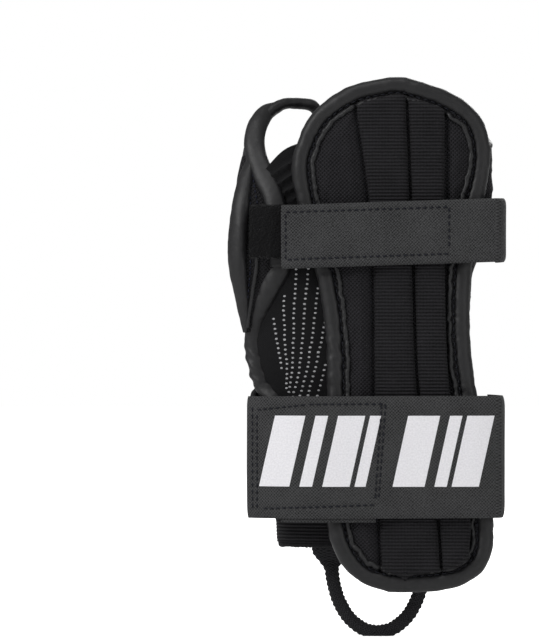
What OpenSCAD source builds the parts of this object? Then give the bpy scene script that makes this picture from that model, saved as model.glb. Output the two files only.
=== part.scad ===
/* [Sleeve] */
// How far the hem lies below the wrist centre
cuff_drop = 88; // [84:1:92]
// Height of the finger edge above the wrist centre
finger_rise = 97; // [94:1:100]
// Thickness of the padded sleeve wall
wall = 2.6; // [2:0.1:3.2]
// Squareness of the sleeve's section, 2 is an ellipse
corner = 2.8; // [2.5:0.1:3]

/* [Back shield] */
// Thickness of the shield's canvas-covered pad
shield_pad_t = 6.5; // [5:0.5:7]
// Width of the rolled binding round the shield
shield_binding_w = 6.6; // [5.5:0.1:7]
// Height of the raised tape over each back stay
back_channel_h = 2.6; // [2.2:0.1:2.8]

/* [Palm] */
// Height of the palm pad
palm_pad_h = 8; // [6:0.5:9]
// Height of the raised tape over each palm stay
palm_channel_h = 2.4; // [2.1:0.1:2.6]

/* [Straps] */
// Width of the wrist strap
wrist_strap_w = 50; // [46:1:52]
// Width of the hand strap
hand_strap_w = 25; // [22:1:27]
// Thickness of the strap webbing
strap_t = 1.8; // [1.4:0.1:2]
// Thickness of the hook patches
hook_t = 1.3; // [1:0.1:1.4]
// Thickness of the loop patch and loop band
loop_t = 1.8; // [1.4:0.1:2]

/* [Pull loop] */
// Width of the pull loop's webbing
pull_w = 15; // [12:1:16]
// How far the pull loop hangs below the hem
pull_drop = 34; // [30:1:38]

/* [Hidden] */

canvas = [0.15, 0.14, 0.16];
stretch = [0.10, 0.10, 0.11];
leathery = [0.22, 0.22, 0.24];
webbing = [0.23, 0.235, 0.24];
fuzzy = [0.09, 0.09, 0.10];
plastic = [0.55, 0.56, 0.58];
foam = [0.35, 0.35, 0.37];
print_white = [0.88, 0.88, 0.87];

gap = 0.3;        // clearance between sewn pieces
seam = 0.25;      // half of the gap between two neighbouring panels

// Sections of the sleeve: [height, half width or depth]
thumb_side = [[-88, 43.5], [-50, 46.5], [-30, 49.5], [-16, 54.5], [5, 56.5], [25, 61],
    [40, 62.5], [60, 60], [78, 56], [97, 47]];
little_side = [[-88, 42], [-58, 41.5], [-28, 37], [5, 35.5], [24, 37], [38, 42.5], [52, 45], [97, 44]];
palm_depth = [[-88, 24], [0, 21], [40, 19], [97, 18]];
back_depth = [[-110, 22.5], [-88, 22], [0, 20], [40, 18], [104, 17]];
shield_reach = 64;   // half width of the flatter section that the shield follows

// Layers on the back, as distances out from the sleeve
backing_low = 0.5;
backing_top = 1.5;
pad_low = backing_top + 0.1;
pad_top = pad_low + shield_pad_t;
strap_low = pad_top + 0.2 + back_channel_h + gap + 0.1 + hook_t;

// Value at height z of a list of [height, value] stations, smooth between them
function slope(l, i) = let (a = max(i - 1, 0), b = min(i + 1, len(l) - 1))
    (l[b][1] - l[a][1]) / (l[b][0] - l[a][0]);
function at(l, z) = let (
        n = len(l), q = min(max(z, l[0][0]), l[n - 1][0]),
        k = [for (j = [0:n - 2]) if (q >= l[j][0] && q <= l[j + 1][0]) j][0],
        h = l[k + 1][0] - l[k][0], t = (q - l[k][0]) / h)
    (2 * t^3 - 3 * t^2 + 1) * l[k][1] + (t^3 - 2 * t^2 + t) * h * slope(l, k)
    + (3 * t^2 - 2 * t^3) * l[k + 1][1] + (t^3 - t^2) * h * slope(l, k + 1);
function mix(a, b, t) = a + (b - a) * t;
function steps(n) = [for (i = [0:n]) i / n];

// Point at share t of a smooth line through the points p
function knot(p, i) = p[min(max(i, 0), len(p) - 1)];
function through(p, t) = let (s = t * (len(p) - 1), i = min(floor(s), len(p) - 2), f = s - i,
        a = knot(p, i - 1), b = knot(p, i), c = knot(p, i + 1), d = knot(p, i + 2))
    b + f / 2 * ((c - a) + f * ((2 * a - 5 * b + 4 * c - d) + f * (3 * b - a - 3 * c + d)));

// The sleeve's surface: by angle (0 = little-finger side, 90 = palm, 180 = thumb side, 270 = back)
function side_w(c, z) = c > 0 ? at(little_side, z) : at(thumb_side, z);
function skin(a, z, off = 0) = let (c = cos(a), s = sin(a))
    [sign(c) * pow(abs(c), 2 / corner) * (side_w(c, z) + off),
     sign(s) * pow(abs(s), 2 / corner) * ((s > 0 ? at(palm_depth, z) : at(back_depth, z)) + off), z];
function palm_angle(x, z) = let (c = pow(min(abs(x) / side_w(x, z), 1), corner / 2))
    x > 0 ? acos(c) : 180 - acos(c);
function back_angle(x, z) = 360 - palm_angle(x, z);
// Angle that lies the distance d further round the surface
function further(a, z, d) = a + d / (norm(skin(a + 1, z) - skin(a - 1, z)) / 2);

// The same surfaces by side-to-side position x
function bulge(x, w) = pow(max(1 - pow(min(abs(x) / w, 1), corner), 0), 1 / corner);
function on_palm(x, z, off = 0) = [x, (at(palm_depth, z) + off) * bulge(x, side_w(x, z) + off), z];
function on_back(x, z, off = 0) = [x, -(at(back_depth, z) + off) * bulge(x, shield_reach + off), z];

// A closed solid between two grids of points, whichever way round they run
function flat(l) = [for (row = l) each row];
function volume(p, f) = [for (t = f) p[t[0]] * cross(p[t[1]], p[t[2]])] * [for (t = f) 1];
module solid(p, f)
    polyhedron(p, volume(p, f) > 0 ? [for (t = f) [t[2], t[1], t[0]]] : f, convexity = 6);
module slab(top, low) {
    r = len(top);
    c = len(top[0]);
    b = r * c;
    function n(i, j) = i * c + j;
    faces = [
        for (i = [0:r - 2], j = [0:c - 2]) each [
            [n(i, j), n(i, j + 1), n(i + 1, j + 1)], [n(i, j), n(i + 1, j + 1), n(i + 1, j)],
            [b + n(i, j), b + n(i + 1, j + 1), b + n(i, j + 1)],
            [b + n(i, j), b + n(i + 1, j), b + n(i + 1, j + 1)]],
        for (i = [0:r - 2]) each [
            [n(i, 0), n(i + 1, 0), b + n(i + 1, 0)],
            [n(i, 0), b + n(i + 1, 0), b + n(i, 0)],
            [n(i + 1, c - 1), n(i, c - 1), b + n(i, c - 1)],
            [n(i + 1, c - 1), b + n(i, c - 1), b + n(i + 1, c - 1)]],
        for (j = [0:c - 2]) each [
            [n(0, j + 1), n(0, j), b + n(0, j)],
            [n(0, j + 1), b + n(0, j), b + n(0, j + 1)],
            [n(r - 1, j), n(r - 1, j + 1), b + n(r - 1, j + 1)],
            [n(r - 1, j), b + n(r - 1, j + 1), b + n(r - 1, j)]]];
    solid(concat(flat(top), flat(low)), faces);
}

// A roll of binding along a path, w wide and t thick; ref is a direction that the path never takes
module roll(path, w, t, ref, closed = false, sides = 8) {
    n = len(path);
    function p(i) = closed ? path[(i + n) % n] : knot(path, i);
    function ring(i) = let (d = p(i + 1) - p(i - 1),
            u = cross(d, ref) / norm(cross(d, ref)), v = cross(u, d) / norm(d))
        [for (k = [0:sides - 1]) let (a = 360 * k / sides)
            p(i) + u * w / 2 * cos(a) + v * t / 2 * sin(a)];
    spans = closed ? n - 1 : n - 2;
    faces = [for (i = [0:spans], k = [0:sides - 1]) let (
            a = i * sides + k, b = i * sides + (k + 1) % sides,
            c = (i + 1) % n * sides + k, d = (i + 1) % n * sides + (k + 1) % sides)
        each [[a, b, d], [a, d, c]],
        if (!closed) for (k = [1:sides - 2])
            each [[0, k + 1, k], (n - 1) * sides * [1, 1, 1] + [0, k, k + 1]]];
    solid(flat([for (i = [0:n - 1]) ring(i)]), faces);
}

// A sleeve panel between two angles that follow the height, from a lower to an upper edge
module panel(from, to, low, high, rows, cols, outer = 0, inner = -wall) {
    function grid(off) = [for (u = steps(rows)) [for (v = steps(cols))
        let (z = mix(low(v), high(v), u)) skin(mix(from(z), to(z), v), z, off)]];
    slab(grid(outer), grid(inner));
}

// Where the panels meet
palm_right = 29;
palm_left = -38;
back_left = -20;
back_right = 30;
panel_low = -cuff_drop + 2.2;
hem_line = function(v) panel_low;

// Thumb hole: an oval that leans, narrows towards its lower end and has a squarer corner by the fingers
hole_mid = [-43, 59.5];
hole_half = [15, 35];
hole_lean = 0.12;
hole_taper = 0.18;
hole_square = 0.45;
ring_w = 5;
function hole_side(a) = cos(a) > 0 ? pow(cos(a), 1 - hole_square * max(sin(a), 0)) : cos(a);
function hole_at(a, grow = 0) = let (
        z = hole_mid[1] + (hole_half[1] + grow) * sin(a),
        lean = hole_lean * (z - hole_mid[1]),
        reach = (hole_half[0] + grow) * hole_side(a) * (1 + hole_taper * sin(a)))
    [hole_mid[0] + lean + reach, z];
ring_room = 5.5;
ring_top = 92;    // above this height the panel's edge beside the hole runs straight up
function hole_edge(z) = let (
        rise = (min(z, ring_top) - hole_mid[1]) / (hole_half[1] + ring_room))
    hole_at(asin(min(max(rise, -1), 1)), ring_room)[0];

// Upper edge of the palm side and the little-finger side, by share of the way round
function palm_high(v) = at([[0, 86], [0.15, 91], [0.5, finger_rise], [0.8, 96.5], [1, 92]], v);
module palm_panel() color(canvas) panel(
    function(z) palm_angle(palm_right, z),
    function(z) palm_angle(max(hole_edge(z), palm_left), z),
    hem_line, function(v) palm_high(v), 24, 8);
function ulnar_high(v) = at([[0, 73], [0.5, 76], [1, 85.4]], v);
module ulnar_panel() color(canvas) panel(
    function(z) further(back_angle(back_right, z) - 360, z, seam * 2),
    function(z) further(palm_angle(palm_right, z), z, -seam * 2),
    hem_line, function(v) ulnar_high(v), 12, 8);

// The rolled edge on the thumb side runs down the back in a curve: side-to-side place by height
edge_line = [[-86, -37], [-45, -39], [-30, -46], [-22, -52],
    [-8, -54.5], [3, -53.5], [15, -48.5], [25, -42]];
edge_w = 5.6;
edge_room = edge_w / 2 + 1;
function edge_angle(z) = back_angle(at(edge_line, z), z);
function thumb_high(v) = at([[0, 25], [0.2, 19.5], [0.4, 20.5], [0.55, 24.5], [1, 24]], v);
module thumb_panel() color(canvas) panel(
    function(z) further(palm_angle(palm_left, z), z, seam * 2),
    function(z) further(edge_angle(z), z, -edge_room),
    hem_line, function(v) thumb_high(v), 16, 10);
// Above that edge the stretch panel follows the thumb band up to the thumb hole
vent_line = [[25, -38.3], [39, -38.6], [52, -41.5], [66, -47.5]];
vent_high = [[0, 66.5], [0.4, 75], [1, 80]];
module vent_panel() color(stretch) panel(
    function(z) z < 25 ? further(edge_angle(z), z, edge_room) : back_angle(at(vent_line, z), z),
    function(z) further(back_angle(back_left, z), z, -seam * 2),
    hem_line, function(v) at(vent_high, v), 28, 6, 0, -1.6);
module back_panel() color(stretch) panel(
    function(z) back_angle(back_left, z), function(z) back_angle(back_right, z),
    hem_line, function(v) 88, 12, 6);

// Outline of the back shield, its left and right sides from the lower end to the upper end
shield_left = [[2, -107.5], [-10, -103.5], [-19, -94], [-24, -78], [-24, -45], [-24, -10], [-26.5, 15],
    [-33, 40], [-38, 62], [-36.5, 76], [-29, 90], [-15, 100], [2, 104]];
shield_right = [[14, -107.5], [31, -105], [42, -96], [44.5, -80], [40.5, -45], [35.5, -10], [35, 15],
    [37.5, 40], [42, 60], [43.5, 75], [38.5, 89], [25, 98.5], [8, 104]];
shield_rows = 24;
function shield_loop(inset) = let (
        l = [for (t = steps(shield_rows)) through(shield_left, t)],
        r = [for (t = steps(shield_rows)) through(shield_right, 1 - t)],
        p = concat(l, r), n = len(p))
    [for (i = [0:n - 1]) let (d = p[(i + 1) % n] - p[(i + n - 1) % n])
        p[i] + inset * [d[1], -d[0]] / norm(d)];
module shield_layer(inset, low, top) {
    p = shield_loop(inset);
    function grid(off) = [for (i = [0:shield_rows]) [for (v = steps(6))
        let (q = mix(p[i], p[len(p) - 1 - i], v)) on_back(q[0], q[1], off)]];
    slab(grid(top), grid(low));
}
module shield_backing() color(stretch) shield_layer(shield_binding_w + gap, backing_low, backing_top);
module shield_pad() color(canvas) shield_layer(shield_binding_w + gap, pad_low, pad_top);
module shield_binding() color(leathery)
    roll([for (q = shield_loop(shield_binding_w / 2)) on_back(q[0], q[1], mix(backing_low, pad_top, 0.5))],
        shield_binding_w, pad_top - backing_low, [0, 1, 0], true);

// A raised cover over a stay or a pad, with a thin wall and an open underside
cover_wall = 1;
cover_lip = 0.05;
module cover(place, left, right, low, high, h, rows) {
    us = [0, cover_lip / 2, for (i = [1:rows - 1]) i / rows, 1 - cover_lip / 2, 1];
    vs = [0, 0.16, 0.5, 0.84, 1];
    function rise(u, v) = (u == 0 || u == 1 || v == 0 || v == 1) ? 0 : h - cover_wall;
    function grid(base) = [for (u = us) [for (v = vs)
        let (z = mix(low, high, u)) place(mix(left(z), right(z), v), z, base + rise(u, v))]];
    slab(grid(cover_wall), grid(0));
}
// A thin stiff stay that lies in the middle of its channel
module stay(place, mid, w, low, high, t) {
    function grid(off) = [for (u = steps(10)) [for (v = steps(2))
        let (z = mix(low, high, u)) place(mid(z) + w * (v - 0.5), z, off)]];
    slab(grid(t), grid(0));
}

// Grooves between the two back channels, from the lower end to the upper end
groove_inner = [[-95, -2], [-30, -4.5], [20, -5], [54, -7], [90, -12]];
groove_middle = [[-98, 23], [-78, 21.5], [-25, 13.5], [26, 11.5], [54, 10.5], [94, 9]];
groove_outer = [[-92, 35], [-77, 35.5], [-25, 27], [26, 25], [54, 25], [92, 25]];
back_layer = function(x, z, off) on_back(x, z, pad_top + 0.2 + off);
stay_layer = function(x, z, off) on_back(x, z, pad_top + 0.35 + off);
stay_t = 1.1;
back_channel_low = -90;
back_channel_high = 88;
back_stay_w = 8;
stay_end = 8;     // how far a stay ends inside its channel
module back_channel(a, b) cover(back_layer, function(z) at(a, z) + 0.5, function(z) at(b, z) - 0.5,
    back_channel_low, back_channel_high, back_channel_h, 14);
module back_stay(a, b) stay(stay_layer, function(z) (at(a, z) + at(b, z)) / 2, back_stay_w,
    back_channel_low + stay_end, back_channel_high - stay_end, stay_t);
module back_channel_inner() color(webbing) back_channel(groove_inner, groove_middle);
module back_channel_outer() color(webbing) back_channel(groove_middle, groove_outer);
module back_stay_inner() color(plastic) back_stay(groove_inner, groove_middle);
module back_stay_outer() color(plastic) back_stay(groove_middle, groove_outer);

// Palm pad: rounded block with a slanting lower edge
pad_low_z = 38;
pad_high_z = 88;
function pad_side(x0, x1, z, s) = let (m = (pad_low_z + pad_high_z) / 2, h = (pad_high_z - pad_low_z) / 2,
        f = pow(max(1 - pow(abs(z - m) / h, 4), 0), 0.25))
    mix((x0 + x1) / 2, s < 0 ? x0 : x1, 0.72 + 0.28 * f);
palm_layer = function(x, z, off) on_palm(x, z, 0.2 + off);
module palm_pad_cover() color(canvas)
    cover(palm_layer, function(z) pad_side(-16, 30, z, -1), function(z) pad_side(-16, 30, z, 1),
        pad_low_z, pad_high_z, palm_pad_h, 8);
module palm_pad_foam() {
    function grid(off) = [for (u = steps(4)) [for (v = steps(4))
        on_palm(mix(-7, 21, v), mix(44, 82, u), off)]];
    color(foam) slab(grid(palm_pad_h - cover_wall - 0.6), grid(0.5));
}

// Palm channels and their stays: middle of each, and one length for all
palm_channel_x = [-24, -5, 15];
palm_channel_w = 9.5;
palm_channel_low = -64;
palm_channel_high = 14;
palm_stay_layer = function(x, z, off) on_palm(x, z, 0.35 + off);
module palm_channel(i) cover(palm_layer,
    function(z) palm_channel_x[i] - palm_channel_w / 2, function(z) palm_channel_x[i] + palm_channel_w / 2,
    palm_channel_low, palm_channel_high, palm_channel_h, 8);
palm_stay_w = 5;
palm_stay_end = 6;
module palm_stay(i) stay(palm_stay_layer, function(z) palm_channel_x[i], palm_stay_w,
    palm_channel_low + palm_stay_end, palm_channel_high - palm_stay_end, stay_t - 0.1);
module palm_channel_thumb() color(webbing) palm_channel(0);
module palm_channel_middle() color(webbing) palm_channel(1);
module palm_channel_little() color(webbing) palm_channel(2);
module palm_stay_thumb() color(plastic) palm_stay(0);
module palm_stay_middle() color(plastic) palm_stay(1);
module palm_stay_little() color(plastic) palm_stay(2);

// Bindings
module thumb_hole_binding() color(leathery)
    roll([for (i = [0:39]) let (q = hole_at(360 * i / 40)) on_palm(q[0], q[1], -wall / 2)],
        ring_w, 5, [0, 1, 0], true);
module thumb_edge_binding() color(leathery)
    roll([for (u = steps(30)) let (z = mix(panel_low, 25, u)) skin(edge_angle(z), z, -wall / 2 + 0.2)],
        edge_w, 4.4, [0.2, 1, 0]);
top_w = 2.8;
top_room = 1.3;
module top_binding() color(leathery) {
    palm_run = [for (v = [16:-1:0]) let (s = v / 16 * 0.93, z = palm_high(s),
            a = mix(palm_angle(palm_right, z), palm_angle(max(hole_edge(z), palm_left), z), s))
        skin(a, z + top_w / 2 + top_room, -wall / 2)];
    side_run = [for (v = [8:-1:1]) let (s = v / 9, z = ulnar_high(s),
            a = mix(back_angle(back_right, z) - 360, palm_angle(palm_right, z), s))
        skin(a, z + top_w / 2 + top_room, -wall / 2)];
    roll(concat(palm_run, side_run), top_w, top_w, [0, 0, 1]);
}
module cuff_binding() color(leathery)
    roll([for (i = [0:47]) skin(7.5 * i, -cuff_drop, -wall / 2 - 0.3)], 3.4, 3.6, [0, 0, 1], true);

// A band that follows points in plan, from height low(s) to high(s); t is its thickness, outward
module band(path, n, low, high, t, out = 0, start = 0) {
    function q(s) = through(path, s);
    function normal(s) = let (d = q(min(s + 0.01, 1)) - q(max(s - 0.01, 0))) [d[1], -d[0]] / norm(d);
    function grid(off) = [for (u = steps(n)) [for (v = steps(2))
        let (s = mix(start, 1, u), p = q(s) + off * normal(s)) [p[0], p[1], mix(low(s), high(s), v)]]];
    slab(grid(out + t), grid(out));
}

// Straps over the back: the inner face of the webbing, from the thumb side to the little-finger side
hand_fold = 27;
wrist_fold = 1;
strap_end = 45.4;
hand_low = 27;
wrist_low = -77;
strap_tilt = 0.03;
wrist_tilt = -0.01;
function strap_y(x, z) = on_back(x, z, strap_low)[1];
module strap(x0, x1, z0, w, tilt, t, out = 0, n = 6, start = 0) {
    reach = start == 0 ? function(x) 0 : function(x) max(start - x, 0)^2 * 0.006;
    function grid(off) = [for (u = steps(n)) [for (v = steps(2))
        let (x = mix(x0, x1, u), z = z0 + v * w + tilt * x) [x, strap_y(x, z0) + reach(x) - off, z]]];
    slab(grid(out + t), grid(out));
}
hand_shoulder = -30;
wrist_shoulder = -22;
module hand_strap() color(webbing)
    strap(hand_fold + gap, strap_end - gap, hand_low, hand_strap_w, strap_tilt, strap_t, 0, 4);
module hand_tab() color(webbing)
    strap(-43.5, hand_fold - gap, hand_low, hand_strap_w, strap_tilt, strap_t, 0, 10, hand_shoulder);
module hand_hook() color(fuzzy)
    strap(-41, hand_fold - 2, hand_low + 2, hand_strap_w - 4, strap_tilt,
        hook_t, -hook_t - 0.05, 10, hand_shoulder);
module wrist_strap() color(webbing)
    strap(wrist_fold + gap, strap_end - gap, wrist_low, wrist_strap_w, wrist_tilt, strap_t);
module wrist_tab() color(webbing)
    strap(-57, wrist_fold - gap, wrist_low, wrist_strap_w, wrist_tilt, strap_t, 0, 10, wrist_shoulder);
module wrist_hook() color(fuzzy)
    strap(-54, wrist_fold - 2, wrist_low + 4, wrist_strap_w - 8, wrist_tilt,
        hook_t, -hook_t - 0.05, 10, wrist_shoulder);

// Plain slanted blocks printed on the wrist strap: [left edge, width]
print_low = -64;
print_h = 29;
print_lean = 0.22;
print_t = 0.3;
print_gap = 0.15;
tab_blocks = [[-47.5, 12], [-31.5, 5], [-22.5, 11], [-9.5, 4.5]];
strap_blocks = [[6, 13], [23, 5], [30, 11]];
module block(x, w, start) {
    reach = function(x) max(start - x, 0)^2 * 0.006;
    function grid(off) = [for (u = steps(3)) [for (v = steps(3))
        let (z = print_low + v * print_h, q = x + u * w + print_lean * (v - 0.5) * print_h)
        [q, strap_y(q, wrist_low) + reach(q) - off, z]]];
    slab(grid(strap_t + print_gap + print_t), grid(strap_t + print_gap));
}
module wrist_print_tab() color(print_white) for (b = tab_blocks) block(b[0], b[1], wrist_shoulder);
module wrist_print_strap() color(print_white) for (b = strap_blocks) block(b[0], b[1], wrist_shoulder);

// Sewn ends of the straps on the little-finger side, from the seam round to the fold
hand_anchor_path = [[46.6, 7], [47.7, 0], [48.3, -8], [48.4, -16], [47.6, -24], [45.8, -28.6]];
wrist_anchor_path = [[43.2, 8], [44.8, 0], [46, -8], [47.4, -18], [47.4, -26], [45.9, -31.4]];
hand_anchor_low = hand_low + strap_tilt * 47;
module hand_strap_anchor() color(webbing) band(hand_anchor_path, 10,
    function(s) hand_anchor_low, function(s) hand_anchor_low + hand_strap_w, -strap_t);
module wrist_strap_anchor() color(webbing) band(wrist_anchor_path, 10,
    function(s) wrist_low - 0.4, function(s) wrist_low + wrist_strap_w - 0.4, -strap_t);

// Flap from the thumb hole's outer edge to under the hand strap, and its loop patch
flap_path = [[-60.5, 3], [-63.5, -2], [-63, -11], [-57, -19.5], [-48, -22.6], [-38, -23.4]];
flap_t = 1.4;
flap_top = [[0, 69], [0.4, 63], [0.7, 54], [1, 51]];
patch_start = 0.6;
module thumb_flap() color(leathery)
    band(flap_path, 14, function(s) hand_low - 1.5, function(s) at(flap_top, s), flap_t);
module hand_loop_patch() color(fuzzy) band(flap_path, 6, function(s) hand_low - 1,
    function(s) hand_low + hand_strap_w - 1.5, loop_t, flap_t + 0.1, patch_start);

// Rolled edge that crosses from the top of the thumb hole down to the curved edge on the back
thumb_band_path = [[-49.5, -4.6, 85], [-53.2, -5.6, 76], [-51.5, -9.2, 64], [-46, -14.5, 52],
    [-43.5, -17, 39], [-43, -16.5, 29]];
module thumb_band() color(leathery)
    roll([for (u = steps(24)) through(thumb_band_path, u)], 7, 3.6, [0.3, 1, 0]);

// Wide loop band over the palm, round the thumb side and under the wrist strap's end
band_low = -70;
band_high = -22;
module wrist_loop_band() color(fuzzy) {
    lift = 0.2 + palm_channel_h + gap + loop_t;
    palm_run = [for (x = [32:-8:-40]) let (q = on_palm(x, band_low, lift)) [q[0], q[1]]];
    round_run = [[-47.4, 16.4], [-53.8, 8], [-55.8, -3], [-55.4, -14], [-51.6, -22], [-43.5, -26.2],
        [-36, -29.2]];
    band(concat(palm_run, round_run), 34, function(s) band_low, function(s) band_high, -loop_t);
}

// Pull loop: webbing that turns from flat against the palm to edge-on at the lower end
pull_x = [-21.5, 17.5];
pull_top = -cuff_drop - 4.8;
pull_end_low = pull_top + 1.8;
pull_t = 1.6;
pull_y = at(palm_depth, -cuff_drop) + 1;
module pull_end(x) {
    function foot(x, z, off) = let (p = on_palm(x, max(z, -cuff_drop), off)) [p[0], p[1], z];
    function grid(off) = [for (u = steps(4)) [for (v = steps(3))
        foot(x + pull_w * (v - 0.5), mix(pull_end_low, -76, u), off)]];
    slab(grid(0.4 + pull_t), grid(0.4));
}
module pull_loop_ends() color(webbing) for (x = pull_x) pull_end(x);
module pull_loop() {
    mid = (pull_x[0] + pull_x[1]) / 2;
    half = (pull_x[1] - pull_x[0]) / 2;
    function place(s) = [mid - half * cos(180 * s), pull_y - pull_t / 2,
        pull_top - pull_drop * pow(sin(180 * s), 0.8)];
    function grid(side) = [for (s = steps(32)) let (
            d = place(min(s + 0.005, 1)) - place(max(s - 0.005, 0)), along = d / norm(d),
            turn = 90 - 90 * cos(180 * s), w = [cos(turn), sin(turn), 0],
            across = w - along * (w * along), a = across / norm(across), n = cross(along, a))
        [for (v = [-0.5, 0, 0.5]) place(s) + a * pull_w * v + n * pull_t / 2 * side]];
    color(webbing) slab(grid(1), grid(-1));
}

palm_panel();
ulnar_panel();
thumb_panel();
vent_panel();
back_panel();
shield_backing();
shield_pad();
shield_binding();
back_stay_inner();
back_stay_outer();
back_channel_inner();
back_channel_outer();
palm_pad_foam();
palm_pad_cover();
palm_stay_thumb();
palm_stay_middle();
palm_stay_little();
palm_channel_thumb();
palm_channel_middle();
palm_channel_little();
thumb_hole_binding();
thumb_band();
thumb_edge_binding();
top_binding();
cuff_binding();
thumb_flap();
hand_loop_patch();
wrist_loop_band();
hand_strap_anchor();
wrist_strap_anchor();
pull_loop_ends();
hand_strap();
hand_tab();
hand_hook();
wrist_strap();
wrist_tab();
wrist_hook();
wrist_print_strap();
wrist_print_tab();
pull_loop();
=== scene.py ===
"""Wrist guard: fabric, padding, bindings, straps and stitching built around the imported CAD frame.
Shapes are worked out in millimetres, in the row frame, and turned into metres when a mesh is made."""
import bpy
import math
from collections import namedtuple
import bmesh
import numpy as np
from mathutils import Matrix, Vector, noise


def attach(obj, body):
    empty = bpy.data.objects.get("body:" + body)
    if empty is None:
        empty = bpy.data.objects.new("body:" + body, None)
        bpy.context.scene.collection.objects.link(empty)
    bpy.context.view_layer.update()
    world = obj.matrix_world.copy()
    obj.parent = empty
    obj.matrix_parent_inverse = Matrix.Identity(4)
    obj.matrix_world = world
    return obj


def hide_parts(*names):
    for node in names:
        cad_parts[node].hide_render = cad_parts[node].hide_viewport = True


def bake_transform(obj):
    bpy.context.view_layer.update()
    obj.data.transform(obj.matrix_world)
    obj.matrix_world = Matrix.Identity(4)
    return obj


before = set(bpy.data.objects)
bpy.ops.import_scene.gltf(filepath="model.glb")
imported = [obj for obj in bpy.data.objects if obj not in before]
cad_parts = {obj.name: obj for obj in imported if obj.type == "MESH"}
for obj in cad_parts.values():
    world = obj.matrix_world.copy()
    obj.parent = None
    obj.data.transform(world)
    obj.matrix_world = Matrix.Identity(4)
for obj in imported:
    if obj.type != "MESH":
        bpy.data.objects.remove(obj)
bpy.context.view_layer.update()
MM = 0.001
RNG = np.random.default_rng(11)

# ---------------- dimensions, as in the CAD model
WALL = 2.6
CORNER = 2.8
CUFF_DROP = 88
FINGER_RISE = 97
PANEL_LOW = -CUFF_DROP + 2.2
THUMB_SIDE = [(-88, 43.5), (-50, 46.5), (-30, 49.5), (-16, 54.5), (5, 56.5), (25, 61), (40, 62.5), (60, 60),
              (78, 56), (97, 47)]
LITTLE_SIDE = [(-88, 42), (-58, 41.5), (-28, 37), (5, 35.5), (24, 37), (38, 42.5), (52, 45), (97, 44)]
PALM_DEPTH = [(-88, 24), (0, 21), (40, 19), (97, 18)]
BACK_DEPTH = [(-110, 22.5), (-88, 22), (0, 20), (40, 18), (104, 17)]
SHIELD_REACH = 64
BACKING_LOW = 0.5
PAD_LOW = 1.6
PAD_TOP = 8.1
CHANNEL_H = 2.6
STRAP_LOW = 12.6
STRAP_T = 1.8
HOOK_T = 1.3


# ---------------- curves and surfaces
def at(stations, z):
    """Smooth value at z of (place, value) stations."""
    x, y = np.array(stations, float).T
    after, before = np.minimum(np.arange(len(x)) + 1, len(x) - 1), np.maximum(np.arange(len(x)) - 1, 0)
    m = (y[after] - y[before]) / (x[after] - x[before])
    q = np.clip(np.asarray(z, float), x[0], x[-1])
    k = np.clip(np.searchsorted(x, q, side="right") - 1, 0, len(x) - 2)
    h = x[k + 1] - x[k]
    t = (q - x[k]) / h
    return ((2 * t**3 - 3 * t**2 + 1) * y[k] + (t**3 - 2 * t**2 + t) * h * m[k]
            + (3 * t**2 - 2 * t**3) * y[k + 1] + (t**3 - t**2) * h * m[k + 1])


def through(points, t):
    """Points at shares t of a smooth line through the given points."""
    p = np.array(points, float)
    s = np.asarray(t, float) * (len(p) - 1)
    i = np.clip(np.floor(s).astype(int), 0, len(p) - 2)
    f = (s - i)[..., None]
    a, b, c, d = (p[np.clip(i + k, 0, len(p) - 1)] for k in (-1, 0, 1, 2))
    return b + f / 2 * ((c - a) + f * ((2 * a - 5 * b + 4 * c - d) + f * (3 * b - a - 3 * c + d)))


def smooth(t):
    t = np.clip(t, 0, 1)
    return t * t * (3 - 2 * t)


def mix(a, b, t):
    return a + (b - a) * t


def grid(rows, cols):
    """Shares down a column and along a row, for that many steps."""
    return np.linspace(0, 1, rows + 1)[:, None], np.linspace(0, 1, cols + 1)[None, :]


def points(*parts):
    """An array of points, or of (u, v), from their separate coordinates."""
    return np.stack(np.broadcast_arrays(*parts), -1).astype(float)


def seen_flat(x, z):
    """Points without depth, for noise and for cloth laid flat."""
    return points(x, 0.0 * z, z)


def unit(v):
    return v / np.linalg.norm(v, axis=-1, keepdims=True)


def lengths(p, axis=0):
    """Running length of a line or a grid of points along an axis."""
    d = np.linalg.norm(np.diff(p, axis=axis), axis=-1)
    zero = np.zeros_like(np.take(d, [0], axis=axis))
    return np.concatenate([zero, np.cumsum(d, axis=axis)], axis=axis)


def side_w(c, z):
    """The sleeve's half width, on the little-finger side where c is positive."""
    return np.where(c > 0, at(LITTLE_SIDE, z), at(THUMB_SIDE, z))


def skin(angle, z, off=0.0):
    """The sleeve's surface by angle in degrees: 0 little-finger side, 90 palm, 180 thumb side, 270 back."""
    a = np.radians(angle)
    c, s = np.cos(a), np.sin(a)
    depth = np.where(s > 0, at(PALM_DEPTH, z), at(BACK_DEPTH, z))
    x = np.sign(c) * np.abs(c) ** (2 / CORNER) * (side_w(c, z) + off)
    y = np.sign(s) * np.abs(s) ** (2 / CORNER) * (depth + off)
    return points(x, y, z)


def palm_angle(x, z):
    """Angle round the sleeve of a place on the palm."""
    c = np.minimum(np.abs(x) / side_w(x, z), 1) ** (CORNER / 2)
    a = np.degrees(np.arccos(c))
    return np.where(np.asarray(x) > 0, a, 180 - a)


def back_angle(x, z):
    return 360 - palm_angle(x, z)


def further(a, z, d):
    """Angle that lies d millimetres further round the sleeve."""
    return a + d / (np.linalg.norm(skin(a + 1, z) - skin(a - 1, z), axis=-1) / 2)


def bulge(x, w):
    """The section's rounded fall, from 1 in the middle to 0 at half width w."""
    return np.maximum(1 - np.minimum(np.abs(x) / w, 1) ** CORNER, 0) ** (1 / CORNER)


def on_palm(x, z, off=0.0):
    """Points over the palm side."""
    y = (at(PALM_DEPTH, z) + off) * bulge(x, side_w(x, z) + off)
    return points(x, y, z)


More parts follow.
